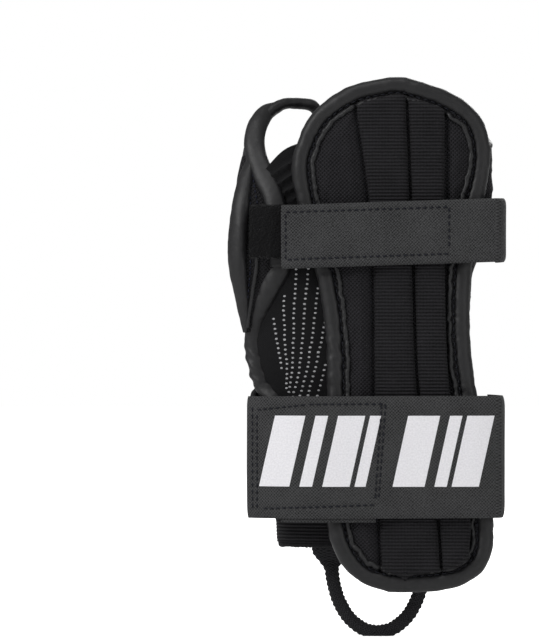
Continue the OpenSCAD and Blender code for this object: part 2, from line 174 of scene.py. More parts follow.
def on_back(x, z, off=0.0):
    """Points over the broad back that carries the shield and the straps."""
    y = -(at(BACK_DEPTH, z) + off) * bulge(x, SHIELD_REACH + off)
    return points(x, y, z)


def fbm(p, size, octaves=3, seed=0.0):
    """Fractal noise from about -1 to 1 at points p, with features of that size in millimetres."""
    flat = np.asarray(p, float).reshape(-1, 3) / size + seed
    out = np.zeros(len(flat))
    for k in range(octaves):
        out += np.array([noise.noise(Vector(q * 2**k)) for q in flat]) / 2**k
    return (out * 1.1).reshape(np.asarray(p).shape[:-1])


def lumps(*layers):
    """Unevenness of a rolled edge: each layer is (height, size, octaves, seed) of noise."""
    return lambda s, a, ring: sum(height * fbm(ring, *rest) for height, *rest in layers)


# ---------------- mesh making
def place(name, data):
    """An object in the scene that shows a mesh, a light or a camera."""
    obj = bpy.data.objects.new(name, data)
    bpy.context.scene.collection.objects.link(obj)
    return obj


def new_object(name, verts, faces, uvs, material, sharp=None):
    """A mesh object from points in millimetres; uvs holds one (u, v) in millimetres for each face corner."""
    mesh = bpy.data.meshes.new(name)
    mesh.from_pydata([tuple(v) for v in np.asarray(verts) * MM], [], faces)
    layer = mesh.uv_layers.new(name="UVMap")
    layer.data.foreach_set("uv", np.asarray(uvs, np.float32).ravel())
    mesh.polygons.foreach_set("use_smooth", [True] * len(mesh.polygons))
    mesh.materials.append(material)
    mesh.update()
    bm = bmesh.new()
    bm.from_mesh(mesh)
    bmesh.ops.recalc_face_normals(bm, faces=bm.faces)
    if sharp:
        for e in bm.edges:
            if len(e.link_faces) == 2 and e.calc_face_angle(0) > math.radians(sharp):
                e.smooth = False
    bm.to_mesh(mesh)
    bm.free()
    return place(name, mesh)


def slab(name, top, low, material, sharp=50, uv=None):
    """A closed sheet between two grids of points, rows by columns."""
    r, c = top.shape[:2]
    if uv is None:
        across = lengths(top, 1)
        uv = points(across - across[:, [c // 2]], lengths(top)[:, [c // 2]])
    verts = np.concatenate([top.reshape(-1, 3), low.reshape(-1, 3)])
    uv_all = np.concatenate([uv.reshape(-1, 2)] * 2)
    under = r * c
    faces = []
    for n in (i * c + j for i in range(r - 1) for j in range(c - 1)):
        faces.append((n, n + 1, n + c + 1, n + c))
        faces.append((under + n, under + n + c, under + n + c + 1, under + n + 1))
    rim = [pair for i in range(1, r) for pair in (((i - 1) * c, i * c), (i * c + c - 1, i * c - 1))]
    rim += [pair for j in range(c - 1) for pair in ((j + 1, j), ((r - 1) * c + j, (r - 1) * c + j + 1))]
    faces += [(k, k2, under + k2, under + k) for k, k2 in rim]
    uvs = [uv_all[v] for f in faces for v in f]
    return new_object(name, verts, faces, uvs, material, sharp)


def resample(path, step, closed=False):
    """The same line with points every step millimetres."""
    p = np.asarray(path, float)
    if closed:
        p = np.vstack([p, p[:1]])
    s = lengths(p)
    n = max(int(round(s[-1] / step)), 4)
    t = np.linspace(0, s[-1], n + 1)
    q = np.stack([np.interp(t, s, p[:, k]) for k in range(3)], 1)
    return q[:-1] if closed else q


def spread(values, n):
    """One direction for each of n points, from a single direction or from a row of them."""
    values = np.atleast_2d(np.asarray(values, float))
    old, new = np.linspace(0, 1, len(values)), np.linspace(0, 1, n)
    return np.stack([np.interp(new, old, values[:, k]) for k in range(values.shape[1])], 1)


def frames(path, ref, closed=False):
    """Sideways and upward unit vectors along a line; ref is a direction or one for each point."""
    p = np.asarray(path, float)
    if closed:
        d = np.roll(p, -1, 0) - np.roll(p, 1, 0)
    else:
        d = np.gradient(p, axis=0)
    d = unit(d)
    u = unit(np.cross(d, spread(ref, len(p))))
    return u, np.cross(u, d)


def roll(name, path, w, t, ref, material, shape, closed=False, sides=24, step=0.8, power=1.0):
    """A rolled binding, w wide and t thick. shape(length, angle, points) adds to its radius."""
    p = resample(path, step, closed)
    u, v = frames(p, ref, closed)
    n = len(p)
    a = np.linspace(0, 2 * np.pi, sides, endpoint=False)
    s = lengths(p)
    w, t = np.broadcast_to(w, n), np.broadcast_to(t, n)
    ca, sa = (np.sign(c) * np.abs(c) ** power for c in (np.cos(a), np.sin(a)))
    out = u[:, None] * (ca[:, None] * w[:, None, None] / 2)
    out = out + v[:, None] * (sa[:, None] * t[:, None, None] / 2)
    ring = p[:, None] + out
    ring = ring + unit(out) * shape(s[:, None], a[None, :], ring)[..., None]
    full = np.pi * (w.mean() + t.mean()) / 2
    around = a / (2 * np.pi) * full
    faces, uvs = [], []
    for i in range(n if closed else n - 1):
        i2 = (i + 1) % n
        s2 = s[i + 1] if i + 1 < n else s[i] + step
        for k in range(sides):
            k2 = (k + 1) % sides
            around2 = around[k2] if k2 else full
            faces.append((i * sides + k, i * sides + k2, i2 * sides + k2, i2 * sides + k))
            uvs += [(around[k], s[i]), (around2, s[i]), (around2, s2), (around[k], s2)]
    if not closed:
        for i in (0, n - 1):
            faces.append(tuple(i * sides + k for k in (range(sides) if i else reversed(range(sides)))))
            uvs += [(around[k], s[i]) for k in range(sides)]
    return new_object(name, ring.reshape(-1, 3), faces, uvs, material)


STITCH = [(0, 0.25), (0.2, 0.85), (0.5, 1), (0.8, 0.85), (1, 0.25)]
STITCH_SINK = 0.35
STITCH_SIDES = 6
STITCH_STEPS = 6


def stitches(name, lines, material, length, pitch, width, lift=0.12):
    """Rows of thread: each line is (points, outward direction or one for each point)."""
    verts, faces, uvs = [], [], []
    for path, out in lines:
        p = resample(path, pitch / STITCH_STEPS)
        out = spread(out, len(p))
        u, v = frames(p, out)
        v = v * np.sign((v * out).sum(1))[:, None]
        for i in range(0, len(p) - STITCH_STEPS, STITCH_STEPS):
            base = len(verts)
            for share, size in STITCH:
                q = i + share * STITCH_STEPS * (length / pitch)
                j, g = int(q), q - int(q)
                rise = -STITCH_SINK if share in (0, 1) else lift
                centre = p[j] * (1 - g) + p[min(j + 1, len(p) - 1)] * g + v[i] * rise
                for a in range(STITCH_SIDES):
                    angle = a * 2 * math.pi / STITCH_SIDES
                    side = u[i] * math.cos(angle) + v[i] * math.sin(angle)
                    verts.append(centre + side * width / 2 * size)
            for k in range(len(STITCH) - 1):
                low = base + k * STITCH_SIDES
                for a in range(STITCH_SIDES):
                    b = (a + 1) % STITCH_SIDES
                    faces.append((low + a, low + b, low + STITCH_SIDES + b, low + STITCH_SIDES + a))
                    uvs += [(a * 0.2, k * 0.5), (a * 0.2 + 0.2, k * 0.5), (a * 0.2 + 0.2, k * 0.5 + 0.5),
                            (a * 0.2, k * 0.5 + 0.5)]
            for k in (0, len(STITCH) - 1):
                faces.append(tuple(base + k * STITCH_SIDES + a for a in range(STITCH_SIDES)))
                uvs += [(0, 0)] * STITCH_SIDES
    return new_object(name, np.array(verts), faces, uvs, material)


def stand_for(obj, nodes):
    """Hide the CAD nodes that the piece shows."""
    if nodes:
        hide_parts(*nodes)
    return obj


def ride(obj, body, slot, *nodes):
    """A piece that moves with one body."""
    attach(obj, body)
    return stand_for(obj, nodes)


def bend(obj, a, b, start, end, slot, *nodes):
    """A piece baked in place; it does not bend. Bodies a and b and the points start and end are not used."""
    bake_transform(obj)
    return stand_for(obj, nodes)


# ---------------- materials
def node(tree, kind, inputs=None, **settings):
    """A new shader node; an input is a value or another node's socket."""
    n = tree.nodes.new("ShaderNode" + kind)
    for key, value in settings.items():
        setattr(n, key, value)
    for key, value in (inputs or {}).items():
        if isinstance(value, bpy.types.NodeSocket):
            tree.links.new(value, n.inputs[key])
        else:
            n.inputs[key].default_value = value
    return n


def principled(name, rough, specular, sheen=0.0):
    m = bpy.data.materials.new(name)
    m.use_nodes = True
    inputs = m.node_tree.nodes["Principled BSDF"].inputs
    inputs["Roughness"].default_value = rough
    inputs["Specular IOR Level"].default_value = specular
    inputs["Sheen Weight"].default_value = sheen
    inputs["Sheen Roughness"].default_value = 0.6
    return m, m.node_tree


def waves(tree, vector, direction, period, wander=0.6):
    """Parallel threads or ribs that far apart, in millimetres."""
    return node(tree, "TexWave", {"Vector": vector, "Scale": math.pi / 10 / period, "Distortion": wander,
                                  "Detail Scale": 0.4}, bands_direction=direction).outputs["Fac"]


def cloud(tree, vector, size, detail=3.0):
    """Noise with features of that size in millimetres."""
    return node(tree, "TexNoise", {"Vector": vector, "Scale": 1 / size, "Detail": detail}).outputs["Fac"]


def calc(tree, operation, a, b):
    return node(tree, "Math", {0: a, 1: b}, operation=operation).outputs[0]


def total(tree, *parts):
    """Sum of (value, share) pairs."""
    scaled = [value if share == 1 else calc(tree, "MULTIPLY", value, share) for value, share in parts]
    out = scaled[0]
    for value in scaled[1:]:
        out = calc(tree, "ADD", out, value)
    return out


def colour_by(tree, value, stops):
    """Colour ramp through (place, colour) stops."""
    ramp = node(tree, "ValToRGB", {"Fac": value})
    for element, (place, colour) in zip(ramp.color_ramp.elements, (stops[0], stops[-1])):
        element.position, element.color = place, (*colour, 1)
    for place, colour in stops[1:-1]:
        ramp.color_ramp.elements.new(place).color = (*colour, 1)
    return ramp.outputs["Color"]


def surface_mm(tree, on_uv=True):
    """Coordinates in millimetres: along the cloth, or through the object for the parts inside."""
    if on_uv:
        return node(tree, "UVMap", uv_map="UVMap").outputs["UV"]
    place = node(tree, "TexCoord").outputs["Object"]
    return node(tree, "Mapping", {"Vector": place, "Scale": (1000, 1000, 1000)}).outputs["Vector"]


def finish(m, tone, stops, height, depth):
    """Give a material its colours by tone and its relief, in millimetres."""
    tree = m.node_tree
    shader = tree.nodes["Principled BSDF"]
    tree.links.new(colour_by(tree, tone, stops), shader.inputs["Base Color"])
    bump = node(tree, "Bump", {"Height": height, "Distance": depth * MM, "Strength": 1.0})
    tree.links.new(bump.outputs["Normal"], shader.inputs["Normal"])
    return m


def woven(name, dark, light, pitch, depth, rough=0.85, specular=0.15, sheen=0.03, cells=0.5, grain=0.35):
    """Plain weave seen as a staggered grid of threads, with a fine grain and soft worn areas."""
    m, tree = principled(name, rough, specular, sheen)
    uv = surface_mm(tree)
    across, along = (calc(tree, "SUBTRACT", waves(tree, uv, way, pitch), 0.5) for way in "XY")
    weave = calc(tree, "ADD", calc(tree, "MULTIPLY", calc(tree, "MULTIPLY", across, along), 2.0), 0.5)
    fine = cloud(tree, uv, pitch * 0.6)
    tone = total(tree, (weave, cells), (fine, grain), (cloud(tree, uv, 13.0, 4.0), 0.3))
    return finish(m, tone, [(0.3, dark), (0.8, light)], total(tree, (weave, 1), (fine, 0.7)), depth)


def ribbed(name, dark, light, pitch, depth):
    """Tape with ribs across it, broken up by the threads that run along it."""
    m, tree = principled(name, 0.8, 0.15, 0.03)
    uv = surface_mm(tree)
    ribs = waves(tree, uv, "Y", pitch, 0.0)
    threads = waves(tree, uv, "X", 1.3)
    fine = cloud(tree, uv, 0.8)
    tone = total(tree, (ribs, 0.36), (threads, 0.08), (fine, 0.46), (cloud(tree, uv, 11.0), 0.25))
    return finish(m, tone, [(0.3, dark), (0.8, light)], total(tree, (ribs, 1), (fine, 1)), depth)


def coated(name, dark, light, rough, specular):
    """Thin stretch cloth with a smooth coating that creases like soft leather."""
    m, tree = principled(name, rough, specular)
    uv = surface_mm(tree)
    grain = cloud(tree, uv, 1.6, 2.0)
    folds = cloud(tree, uv, 7.0, 2.0)
    tone = total(tree, (grain, 0.4), (folds, 0.6))
    return finish(m, tone, [(0.3, dark), (0.7, light)], total(tree, (grain, 0.35), (folds, 1)), 0.3)


def looped(name, dark, speck, size, depth, share=0.62):
    """Loop or hook fabric: matt pile with paler fibres that catch the light."""
    m, tree = principled(name, 0.95, 0.1, 0.08)
    uv = surface_mm(tree)
    pile = node(tree, "TexVoronoi", {"Vector": uv, "Scale": 1 / size, "Randomness": 1.0}).outputs["Distance"]
    fibres = cloud(tree, uv, size * 0.7, 6.0)
    tone = total(tree, (fibres, 0.75), (cloud(tree, uv, 7.0), 0.25))
    stops = [(0.4, dark), (share, [c * 1.8 for c in dark]), (0.8, speck)]
    return finish(m, tone, stops, total(tree, (pile, 1), (fibres, 1)), depth)


def solid(name, dark, light, rough, specular, size, depth, on_uv=True):
    """Moulded, printed or foamed matter with a fine uneven surface."""
    m, tree = principled(name, rough, specular)
    grain = cloud(tree, surface_mm(tree, on_uv), size, 4.0)
    return finish(m, grain, [(0.35, dark), (0.65, light)], grain, depth)


def spun(name, dark, light, twist):
    m, tree = principled(name, 0.6, 0.3)
    strands = waves(tree, surface_mm(tree), "DIAGONAL", twist)
    return finish(m, strands, [(0.2, dark), (0.8, light)], strands, 0.08)


RIB = 1.4
CANVAS = woven("canvas", (0.0008, 0.0007, 0.001), (0.0185, 0.0177, 0.0205), 1.65, 0.5, cells=0.9, grain=0.25)
COARSE = woven("coarse_canvas", (0.0015, 0.0015, 0.0017), (0.0165, 0.016, 0.018), 1.6, 0.45, cells=0.7)
STRETCH = woven("stretch_fabric", (0.003, 0.003, 0.0034), (0.009, 0.009, 0.010), 0.8, 0.12)
LINING = woven("lining", (0.004, 0.004, 0.005), (0.014, 0.014, 0.016), 0.9, 0.15)
TAPE = ribbed("channel_tape", (0.0013, 0.0012, 0.0016), (0.0195, 0.0187, 0.0215), RIB, 0.3)
EDGING = woven("edging", (0.003, 0.003, 0.0035), (0.014, 0.014, 0.016), 0.9, 0.2)
LEATHERY = coated("coated_binding", (0.006, 0.006, 0.0066), (0.0125, 0.0123, 0.0137), 0.5, 0.45)
WEBBING = woven("strap_webbing", (0.002, 0.002, 0.0022), (0.064, 0.0645, 0.066), 1.35, 0.35, 0.75, 0.15, 0.02,
                0.5, 0.55)
PULL = woven("pull_webbing", (0.005, 0.005, 0.006), (0.03, 0.03, 0.033), 1.2, 0.4, 0.8, 0.2, 0.04, cells=0.8)
LOOP = looped("loop_fabric", (0.002, 0.002, 0.0023), (0.035, 0.035, 0.038), 0.9, 0.5, 0.66)
HOOK = looped("hook_fabric", (0.004, 0.004, 0.005), (0.025, 0.025, 0.028), 1.3, 0.6)
THREAD = spun("dark_thread", (0.002, 0.0022, 0.004), (0.005, 0.006, 0.013), 0.5)
NAVY = spun("navy_thread", (0.004, 0.005, 0.012), (0.010, 0.013, 0.034), 0.5)
PRINT = solid("white_print", (0.80, 0.79, 0.82), (0.90, 0.89, 0.92), 0.6, 0.2, 0.7, 0.06)
DOTS = solid("pale_dots", (0.30, 0.30, 0.31), (0.46, 0.46, 0.47), 0.5, 0.3, 0.5, 0.04)
PLASTIC = solid("stay_plastic", (0.24, 0.25, 0.26), (0.33, 0.34, 0.35), 0.4, 0.5, 3.0, 0.05, False)
FOAM = solid("pad_foam", (0.08, 0.08, 0.09), (0.16, 0.16, 0.17), 0.95, 0.1, 0.7, 0.3, False)


def edge_roll(name, path, w, t, ref, *nodes, cloth=LEATHERY, **how):
    """A rolled edge sewn to the sleeve."""
    return ride(roll(name, path, w, t, ref, cloth, **how), "sleeve", "binding", *nodes)


def seam(name, lines, slot, length, pitch, width):
    """Rows of dark stitches on the sleeve."""
    ride(stitches(name, lines, THREAD, length, pitch, width), "sleeve", slot)


# ---------------- the back shield
SHIELD_LEFT = [(2, -107.5), (-10, -103.5), (-19, -94), (-24, -78), (-24, -45), (-24, -10), (-26.5, 15),
               (-33, 40), (-38, 62), (-36.5, 76), (-29, 90), (-15, 100), (2, 104)]
SHIELD_RIGHT = [(14, -107.5), (31, -105), (42, -96), (44.5, -80), (40.5, -45), (35.5, -10), (35, 15),
                (37.5, 40), (42, 60), (43.5, 75), (38.5, 89), (25, 98.5), (8, 104)]
BINDING_W = 7.2
GROOVES = [[(-95, -2), (-30, -4.5), (20, -5), (54, -7), (90, -12)],
           [(-98, 23), (-78, 21.5), (-25, 13.5), (26, 11.5), (54, 10.5), (94, 9)],
           [(-92, 35), (-77, 35.5), (-25, 27), (26, 25), (54, 25), (92, 25)]]


def shield_loop(inset, n):
    """Closed outline of the shield, moved inwards: up the left side and down the right side."""
    t = np.linspace(0, 1, n + 1)
    p = np.vstack([through(SHIELD_LEFT, t), through(SHIELD_RIGHT, 1 - t)])
    k = max(n // 60, 1)
    d = np.roll(p, -k, 0) - np.roll(p, k, 0)
    return p + inset * unit(np.stack([d[:, 1], -d[:, 0]], 1))


OUTLINE = shield_loop(0, 260)


def edge_distance(x, z):
    """Distance inwards from the shield's outline."""
    q = points(x, z).reshape(-1, 2)
    out = np.concatenate([np.linalg.norm(part[:, None] - OUTLINE[None], axis=2).min(1)
                          for part in np.array_split(q, max(len(q) // 3000, 1))])
    return out.reshape(np.broadcast(x, z).shape)


def pad_height(x, z):
    """Height of the shield's canvas over the sleeve: puffed side panels, sunk seams and edges."""
    edge = edge_distance(x, z)
    lines = [at(g, z) for g in GROOVES]
    seam_at = np.min([np.abs(x - g) for g in lines], axis=0)
    sides = np.maximum(lines[0] - x, x - lines[2])
    puff = 1.8 * smooth(np.minimum(edge - 9.5, sides) / 6) * (sides > 0)
    p = seen_flat(x, z)
    folds = 0.45 * fbm(p, 15.0, 2) + 0.22 * fbm(p * (1.0, 1, 0.45), 3.2, 2, 5.0)
    puckers = 0.6 * np.exp(-((edge - 11.5) / 3.5) ** 2) * fbm(p, 4.5, 1, 8.0)
    return (PAD_TOP - 1.6 * (1 - smooth((edge - 6) / 5)) - 1.7 * np.exp(-(seam_at / 1.2) ** 2)
            + puff + (folds + puckers) * smooth((edge - 8) / 4))


def shield_cover():
    """The shield's stuffed canvas and the cloth behind it."""
    rows = 210
    p = shield_loop(BINDING_W - 1.2, rows)
    left, right = p[:rows + 1], p[rows + 1:][::-1]
    q = mix(left[:, None], right[:, None], np.linspace(0, 1, 97)[None, :, None])
    x, z = q[..., 0], q[..., 1]
    cover = slab("shield_cover", on_pad(x, z), on_back(x, z, PAD_LOW), CANVAS, uv=q)
    ride(cover, "sleeve", "canvas", "shield_pad")
    outer, inner = (on_back(x, z, height) for height in (PAD_LOW - 0.1, BACKING_LOW))
    backing = slab("shield_backing_cloth", outer, inner, LINING, uv=q)
    ride(backing, "sleeve", "stretch_fabric", "shield_backing")


def on_pad(x, z, lift=0.0):
    """Points on the shield's canvas."""
    return on_back(x, z, pad_height(x, z) + lift)


def shield_binding():
    """Rolled edge all round the shield, creased across on the thumb side."""
    loop = shield_loop(BINDING_W / 2, 300)
    path = on_back(loop[:, 0], loop[:, 1], (BACKING_LOW + PAD_TOP) / 2)

    def relief(s, a, ring):
        x, z = ring[..., 0], ring[..., 2]
        puckers = 0.22 * fbm(ring * (0.5, 0.5, 1), 3.0, 2)
        creases = np.exp(-((z + 10) / 9) ** 2) * (x < 0) * 0.28
        creases = creases * np.sin(z * 0.9 + x * 1.1 + 3 * fbm(ring, 7.0, 1))
        return puckers + 0.25 * fbm(ring, 12.0, 2, 3.0) + creases
    edge_roll("shield_edge_roll", path, BINDING_W, PAD_TOP - BACKING_LOW + 0.6, (0, 1, 0), "shield_binding",
              shape=relief, closed=True, power=0.85)


def shield_seams():
    """Stitching inside the shield's edge, thin piping next to it, and the seams between the channels."""
    loop = shield_loop(6.7, 240)
    path = on_back(loop[:, 0], loop[:, 1], PAD_TOP - 0.35)
    seam("shield_edge_stitching", [(np.vstack([path, path[:1]]), (0, -1, 0))], "binding", 2.2, 3.1, 0.5)
    piping = shield_loop(8.5, 300)
    wander = 0.6 * fbm(on_back(piping[:, 0], piping[:, 1]), 4.5, 2)
    x, z = (piping + wander[:, None]).T
    edge_roll("shield_inner_piping", on_pad(x, z, 0.5), 2.1, 2.3, (0, 1, 0), shape=lumps((0.42, 1.8, 2)),
              closed=True, sides=10, step=0.6)
    z = np.linspace(-92, 88, 200)
    rows = [(on_pad(at(groove, z) + side, z, 0.02), (0, -1, 0)) for groove in GROOVES for side in (-0.9, 0.9)]
    seam("channel_stitching", rows, "channel_tape", 1.7, 2.7, 0.34)


def back_channel(name, inner, outer, cad_node):
    """Ribbed tape over a stay, puffed between two sunk seams; it runs under the edge roll at both ends."""
    u, v = grid(800, 20)
    scan = np.linspace(0, 1, 81)[:, None]

    def between_seams(z):
        return mix(at(inner, z) + 0.6, at(outer, z) - 0.6, v)

    def end(z0, z1):
        z = mix(z0, z1, scan)
        inside = edge_distance(between_seams(z), z) > 7.4
        return mix(z0, z1, scan[np.argmax(inside, axis=0), 0])
    z = mix(end(-106, -82), end(103, 80), u)
    x = between_seams(z)
    p = seen_flat(x, z)
    swell = np.maximum(1 - np.abs(2 * v - 1) ** 6, 0) ** 0.5 * (0.6 + 0.4 * smooth(v / 0.5))
    ends = smooth((edge_distance(x, z) - 7.0) / 3.0)
    ribs = 0.5 - 0.5 * np.cos(2 * np.pi * z / RIB) + 0.5 * fbm(p, 3.0, 2)
    off = PAD_TOP + 0.2 + ends * (swell * (CHANNEL_H + 0.1 + 0.45 * fbm(p, 14.0, 2)) + 0.22 * ribs)
    tape = slab(name, on_back(x, z, off), on_back(x, z, PAD_TOP - 1.2), TAPE, sharp=80, uv=p[..., [0, 2]])
    ride(tape, "sleeve", "channel_tape", cad_node)


# ---------------- sleeve panels
PALM_RIGHT, PALM_LEFT, BACK_LEFT, BACK_RIGHT = 29, -38, -20, 30
SEAM = 0.25
HOLE_MID, HOLE_HALF = (-43, 59.5), (15, 35)
HOLE_LEAN, HOLE_TAPER, HOLE_SQUARE = 0.12, 0.18, 0.6
RING_ROOM = 2.0
EDGE_LINE = [(-86, -37), (-45, -39), (-30, -45), (-22, -50.5), (-8, -54), (3, -53.3), (15, -48.7), (25, -43)]
EDGE_ROOM = [(-82, 0.2), (-74, 2.2)]
PALM_HIGH = [(0, 86), (0.15, 91), (0.5, FINGER_RISE), (0.8, 96.5), (1, 92)]
VENT_LINE = [(25, -40), (39, -41), (52, -44), (66, -49)]
VENT_HIGH = [(0, 66.5), (0.4, 75), (1, 80)]
THUMB_HIGH = [(0, 25), (0.2, 19.5), (0.4, 20.5), (0.55, 24.5), (1, 24)]
ULNAR_HIGH = [(0, 73), (0.5, 76), (1, 85.4)]
BACK_HIGH = [(0, 88), (1, 88)]


def hole_at(angle, grow=0.0):
    """Outline of the thumb hole by angle in degrees: 0 towards the little finger, 90 up."""
    s, c = np.sin(np.radians(angle)), np.cos(np.radians(angle))
    c = np.where(c > 0, np.maximum(c, 0) ** (1 - HOLE_SQUARE * np.maximum(s, 0)), c)
    z = HOLE_MID[1] + (HOLE_HALF[1] + grow) * s
    return HOLE_MID[0] + HOLE_LEAN * (z - HOLE_MID[1]) + (HOLE_HALF[0] + grow) * c * (1 + HOLE_TAPER * s), z


def hole_edge(z):
    """Where the palm panel ends beside the thumb hole."""
    s = np.clip((np.minimum(z, 92) - HOLE_MID[1]) / (HOLE_HALF[1] + RING_ROOM), -1, 1)
    return hole_at(np.degrees(np.arcsin(s)), RING_ROOM)[0]


def edge_angle(z):
    """Place of the curved rolled edge on the back."""
    return back_angle(at(EDGE_LINE, z), z)


def sleeve_folds(p, amount):
    """Soft wrinkles of the sleeve: broad waves and a few sharper creases across it."""
    broad = fbm(p * (0.8, 0.8, 1.2), 17.0, 2)
    creases = 1 - np.abs(fbm(p * (0.5, 0.5, 1.3), 11.0, 1, 7.0)) * 2.2
    return amount * (0.6 * broad + 0.5 * np.maximum(creases, 0) ** 3)


def vent_start(z):
    """The stretch panel's edge on the thumb side."""
    lower = further(edge_angle(z), z, at(EDGE_ROOM, z))
    upper = back_angle(at(VENT_LINE, z), z)
    return np.where(z < 25, lower, upper)


def pleats(p):
    """Slanting folds where the stretch panel is gathered towards the thumb hole."""
    across = (p[..., 2] - 0.73 * p[..., 0]) * 0.81
    return 1.6 * smooth((p[..., 2] - 48) / 10) * (1 - np.abs(np.sin(across * 0.72 + 0.8 * fbm(p, 14.0, 1))))


def panel(name, start, stop, high, rows, cols, cloth, slot, folds=1.0, inner=-WALL, extra=None):
    """One cut of cloth of the sleeve, between two angles and up to a given edge."""
    u, v = grid(rows, cols)
    z = mix(PANEL_LOW, at(high, v), u)
    a = mix(start(z), stop(z), v)
    base = skin(a, z)
    fade = smooth(np.minimum(np.minimum(u, 1 - u) * 14, np.minimum(v, 1 - v) * 10))
    lift = (sleeve_folds(base, folds) + (extra(base) if extra else 0)) * fade
    obj = slab(name, skin(a, z, lift), skin(a, z, inner + lift * 0.5), cloth)
    return ride(obj, "sleeve", slot, name.replace("_cloth", ""))


def palm_end(z):
    """The palm panel's edge on the thumb side."""
    return palm_angle(np.maximum(hole_edge(z), PALM_LEFT), z)


def sleeve_panels():
    panel("palm_panel_cloth", lambda z: palm_angle(PALM_RIGHT, z), palm_end, PALM_HIGH, 130, 60, COARSE,
          "canvas")
    panel("ulnar_panel_cloth", lambda z: further(back_angle(BACK_RIGHT, z) - 360, z, SEAM),
          lambda z: further(palm_angle(PALM_RIGHT, z), z, -SEAM), ULNAR_HIGH, 120, 44, CANVAS, "canvas")
    panel("thumb_panel_cloth", lambda z: further(palm_angle(PALM_LEFT, z), z, SEAM),
          lambda z: further(edge_angle(z), z, -at(EDGE_ROOM, z)), THUMB_HIGH, 90, 50, COARSE, "canvas")
    panel("vent_panel_cloth", vent_start, lambda z: further(back_angle(BACK_LEFT, z), z, -SEAM), VENT_HIGH,
          200, 60, STRETCH, "stretch_fabric", 0.5, -1.6, pleats)
    panel("back_panel_cloth", lambda z: back_angle(BACK_LEFT, z), lambda z: back_angle(BACK_RIGHT, z),
          BACK_HIGH, 60, 30, LINING, "stretch_fabric", 0.3)


DOT_ROWS = [[(-45.7, 4.5), (-44, -5.5), (-42.4, -15.5)],
            [(-41.3, 14), (-41.5, 7), (-41, -3), (-40.3, -13), (-40.3, -24)],
            [(-36.4, 25), (-37.3, 5), (-37.4, -6), (-38, -17), (-39.7, -27.5)],
            [(-31.5, 25), (-33, 5), (-34, -8), (-35.5, -19), (-37.6, -27.5)],
            [(-27.4, 17), (-28.5, 6), (-31.5, -15), (-34.6, -27)],
            [(-24.6, 3), (-28.2, -15), (-31.5, -27)],
            [(-24.3, -14.5), (-27.7, -27)]]
DOT_HALF, DOT_RISE, DOT_SIDES = (0.68, 0.48), 0.22, 10


def vent_dots():
    """Small raised printed dots in rows that fan out over the stretch panel."""
    verts, faces, uvs = [], [], []
    for row in DOT_ROWS:
        p = resample(np.array([(x, 0, z) for x, z in row], float), 2.0)
        for x, _, z in p:
            x, z = x + RNG.normal(0, 0.08), z + RNG.normal(0, 0.08)
            base = skin(back_angle(x, z), z)
            centre = skin(back_angle(x, z), z, sleeve_folds(base, 0.5) + 0.05)
            side = unit(skin(back_angle(x + 0.5, z), z) - skin(back_angle(x - 0.5, z), z))
            up = np.array([0, 0, 1.0])
            out = np.cross(side, up)
            out *= -np.sign(out[1])
            n = len(verts)
            verts.append(centre + out * DOT_RISE)
            for k in range(DOT_SIDES):
                a = 2 * math.pi * k / DOT_SIDES
                rim = side * DOT_HALF[0] * math.cos(a) + up * DOT_HALF[1] * math.sin(a)
                verts.append(centre + rim - out * 0.1)
                faces.append((n, n + 1 + k, n + 1 + (k + 1) % DOT_SIDES))
                uvs += [(x, z), (x + 0.5, z), (x, z + 0.5)]
    ride(new_object("vent_dots", np.array(verts), faces, uvs, DOTS), "sleeve", "stretch_fabric")


# ---------------- bindings round the sleeve
THUMB_BAND = [(-40.5, 15.3, 94.2), (-48.4, 7.4, 90.6), (-52.2, 0.6, 85), (-53.6, -3.4, 78.5),
              (-52.8, -6.6, 72), (-49.6, -11.4, 63), (-45.4, -15.6, 53), (-43.6, -17.4, 39),
              (-43.6, -17.2, 26)]
THUMB_BAND_W = [(0, 2.6), (0.12, 6.4), (0.25, 8.2), (0.45, 8.8), (0.6, 9), (1, 7.8)]
THUMB_EDGE_W = [(0, 6.6), (0.7, 7.0), (0.9, 8.6), (1, 8.2)]
EDGE_T = 5.0
TOP_W = 2.8


def width_along(stations, path, step):
    """A width for each point that a roll along the path will have."""
    return at(stations, np.linspace(0, 1, len(resample(path, step))))


def thumb_band():
    """Soft rolled edge that crosses from the top of the thumb hole down under the hand strap."""
    path = through(THUMB_BAND, np.linspace(0, 1, 120))
    width = width_along(THUMB_BAND_W, path, 0.8)

    def relief(s, a, ring):
        return 0.25 * fbm(ring * (1, 1, 0.6), 10.0, 2) + 0.06 * fbm(ring, 3.0, 2, 4.0)
    edge_roll("thumb_hole_band", path, width, np.minimum(width, EDGE_T), (0.12, 1, 0), "thumb_band",
              shape=relief, power=0.9)


def thumb_edge():
    """Rolled edge that runs down the back beside the vent panel; it bunches up above the wrist strap."""
    z = np.linspace(-76, 28, 130)
    path = skin(edge_angle(z), z, 0.1)

    def relief(s, a, ring):
        bunch = np.exp(-((ring[..., 2] + 16) / 9) ** 2)
        across = ring[..., 2] * 1.3 + 0.9 * ring[..., 0] + 3.5 * fbm(ring, 8.0, 1)
        return 0.25 * fbm(ring, 4.0, 2) + bunch * (0.36 * np.sin(across) + 0.15)
    edge_roll("thumb_edge_roll", path, width_along(THUMB_EDGE_W, path, 0.7), EDGE_T, (0.2, 1, 0),
              "thumb_edge_binding", shape=relief, step=0.7)


def hole_ring():
    """Rolled ring of the thumb hole and the stitches beside it on the palm."""
    x, z = hole_at(np.linspace(0, 360, 160, endpoint=False))
    edge_roll("thumb_hole_ring", on_palm(x, z, -WALL / 2), 4.8, EDGE_T, (0, 1, 0), "thumb_hole_binding",
              shape=lumps((0.3, 6.0, 2), (0.12, 1.8, 2, 2.0)), closed=True, sides=22)
    x, z = hole_at(np.linspace(-78, 36, 110), 4.2)
    seam("thumb_hole_stitching", [(on_palm(x, z, 0.25), (0, 1, 0))], "binding", 1.8, 2.6, 0.4)


